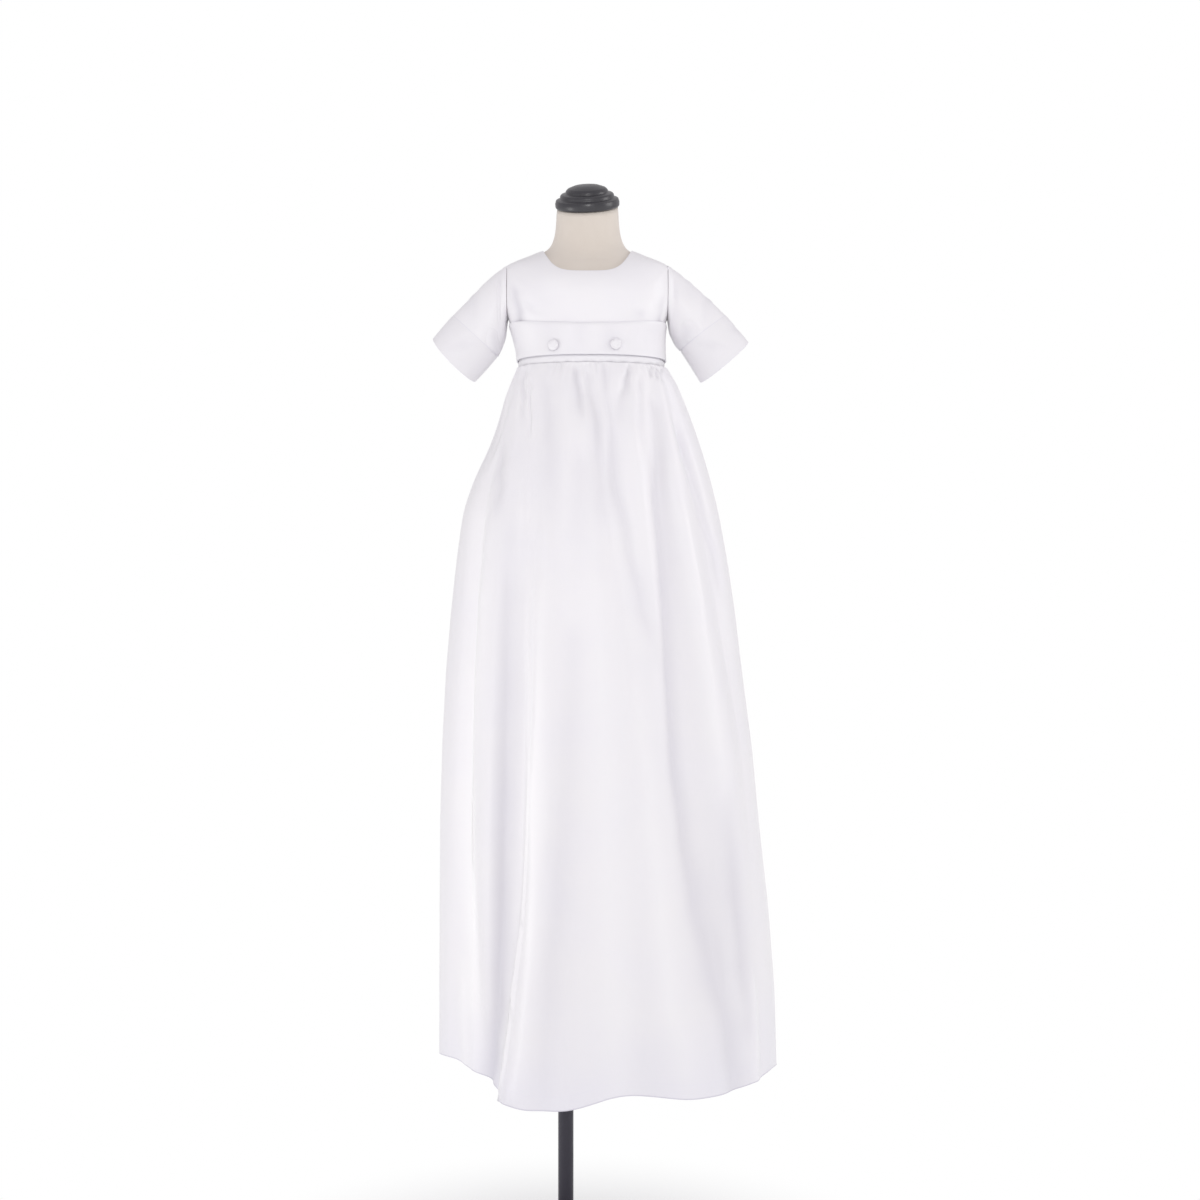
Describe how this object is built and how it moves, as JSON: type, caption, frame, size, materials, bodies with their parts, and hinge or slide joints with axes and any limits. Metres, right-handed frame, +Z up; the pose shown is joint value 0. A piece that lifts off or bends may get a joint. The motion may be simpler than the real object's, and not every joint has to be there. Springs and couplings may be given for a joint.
{
  "type": "christening gown on a dress form",
  "caption": "Long white satin christening gown with short open sleeves, wide belt and gathered skirt, worn by a limbless dress form on a pole with a round base.",
  "frame": {"origin": "centre of the stand base's flat underside, on the pole's axis", "axes": "+Z up the pole, -Y towards the gown's front, +X towards the wearer's left"},
  "size_m": [0.4146, 0.3603, 1.3168],
  "materials": {
    "white_satin": "satin",
    "form_jersey": "matt knit",
    "black_turned_cap": "satin black lacquer",
    "dark_stand": "satin"
  },
  "bodies": {
    "root": {"bodice_front": "white_satin", "bodice_back": "white_satin", "sleeve_right": "white_satin", "sleeve_left": "white_satin", "cuff_right": "white_satin", "cuff_left": "white_satin", "belt": "white_satin", "waist_strip": "white_satin", "skirt_front": "white_satin", "skirt_back": "white_satin", "belt_button_right": "white_satin", "belt_button_left": "white_satin", "form_body": "form_jersey", "neck_cap": "black_turned_cap", "stand_base": "dark_stand", "stand_collar": "dark_stand", "stand_pole": "dark_stand"}
  },
  "joints": []
}
